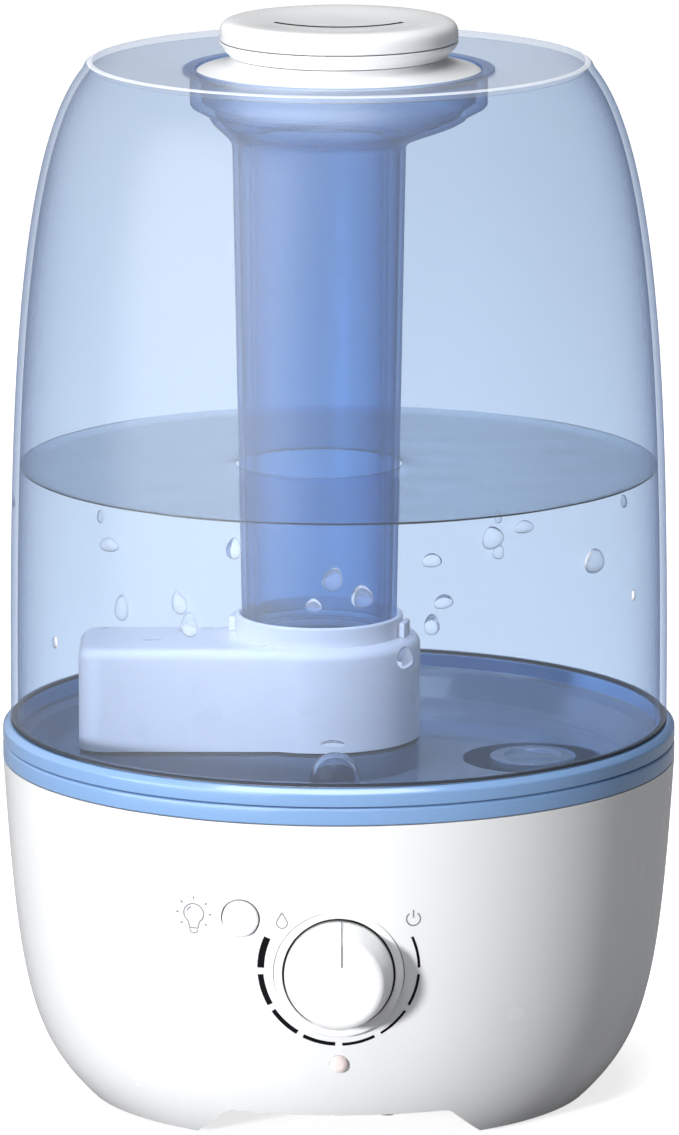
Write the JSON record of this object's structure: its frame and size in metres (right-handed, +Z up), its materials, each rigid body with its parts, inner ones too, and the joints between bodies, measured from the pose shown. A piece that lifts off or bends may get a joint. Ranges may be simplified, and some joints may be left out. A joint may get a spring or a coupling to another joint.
{
  "type": "cool mist humidifier",
  "caption": "Round tabletop mist humidifier: a clear lift-off water tank with a central mist tube over a white base with a control knob, light button and turning nozzle.",
  "frame": {"origin": "on the surface it stands on, under the middle of the whole object, 5.1 mm in front of the axis of the round base and tank", "axes": "+Z up, the knob and button face -Y, the light button is towards -X of the knob"},
  "size_m": [0.19, 0.2002, 0.3053],
  "materials": {
    "gloss_white": "moulded gloss white ABS",
    "matte_white": "moulded satin white ABS",
    "band_blue": "tinted blue plastic, slightly see-through",
    "floor_blue": "smoky blue plastic",
    "clear_blue": "clear blue polycarbonate",
    "pale_blue": "milky pale blue plastic",
    "rubber": "black rubber",
    "silicone": "soft silicone",
    "steel": "plated steel",
    "brass": "plated piezo disc",
    "aluminium": "cast and extruded aluminium",
    "black_plastic": "black plastic",
    "circuit_board": "green circuit board",
    "copper": "lacquered copper wire",
    "filter_foam": "open foam",
    "frosted_clear": "frosted clear plastic"
  },
  "bodies": {
    "base": {"base_shell": "gloss_white", "knob_bezel": "gloss_white", "bottom_cover": "matte_white", "rubber_foot_1": "rubber", "rubber_foot_2": "rubber", "rubber_foot_3": "rubber", "rubber_foot_4": "rubber", "cover_screw_1": "steel", "cover_screw_2": "steel", "cover_screw_3": "steel", "cover_screw_4": "steel", "air_filter": "filter_foam", "filter_cover": "matte_white", "fan_frame": "black_plastic", "air_duct": "matte_white", "water_tray": "band_blue", "transducer_seal": "silicone", "transducer_disc": "brass", "transducer_clamp": "aluminium", "mist_guide": "pale_blue", "reed_switch": "black_plastic", "driver_board": "circuit_board", "capacitor_1": "black_plastic", "capacitor_2": "black_plastic", "choke_coil": "copper", "heat_sink": "aluminium", "control_board": "circuit_board", "potentiometer": "black_plastic", "bushing_nut": "steel", "light_switch": "black_plastic", "status_led": "frosted_clear", "indicator_lens": "frosted_clear", "night_light_board": "circuit_board", "night_light_led": "frosted_clear", "power_jack": "black_plastic"},
    "tank": {"tank_shell": "clear_blue", "tank_mouth": "clear_blue", "tank_floor": "floor_blue", "tank_gasket": "rubber", "mist_housing": "pale_blue", "housing_gasket": "rubber", "float_dome": "floor_blue", "valve_cap": "floor_blue", "valve_spring": "steel"},
    "tube": {"mist_tube": "clear_blue", "inner_mist_tube": "clear_blue", "tube_seal": "silicone"},
    "lid": {"nozzle_lid": "gloss_white", "nozzle_ring": "gloss_white"},
    "nozzle": {"nozzle_cap": "gloss_white", "mist_deflector": "gloss_white"},
    "knob": {"mist_knob": "gloss_white", "knob_shaft": "steel"},
    "button": {"light_button": "gloss_white"},
    "float": {"water_float": "matte_white"},
    "impeller": {"fan_impeller": "black_plastic", "fan_shaft": "steel"},
    "valve": {"valve_plunger": "matte_white", "valve_seal": "rubber"}
  },
  "joints": [
    {"name": "tank_lift", "type": "slide", "parent": "base", "child": "tank", "axis": [0, 0, 1], "range_m": [0, 0.16]},
    {"name": "tube_lift", "type": "slide", "parent": "tank", "child": "tube", "axis": [0, 0, 1], "range_m": [0, 0.18]},
    {"name": "lid_lift", "type": "slide", "parent": "tube", "child": "lid", "axis": [0, 0, 1], "range_m": [0, 0.05]},
    {"name": "nozzle_turn", "type": "hinge", "parent": "lid", "child": "nozzle", "pos_m": [0, 0.0051, 0.3024], "axis": [0, 0, 1], "continuous": true},
    {"name": "knob_turn", "type": "hinge", "parent": "base", "child": "knob", "pos_m": [0, -0.0929, 0.0537], "axis": [0, 1, 0], "range_deg": [0, 296]},
    {"name": "button_press", "type": "slide", "parent": "base", "child": "button", "axis": [0, 1, 0], "range_m": [0, 0.0012], "stiffness_N_per_m": 400, "springref_m": -0.001},
    {"name": "float_rise", "type": "slide", "parent": "base", "child": "float", "axis": [0, 0, 1], "range_m": [0, 0.005]},
    {"name": "fan_spin", "type": "hinge", "parent": "base", "child": "impeller", "pos_m": [-0.04, 0.0051, 0.0208], "axis": [0, 0, 1], "continuous": true},
    {"name": "valve_open", "type": "slide", "parent": "tank", "child": "valve", "axis": [0, 0, 1], "range_m": [0, 0.002], "stiffness_N_per_m": 60, "springref_m": -0.004, "deforming": ["valve_spring"]}
  ]
}
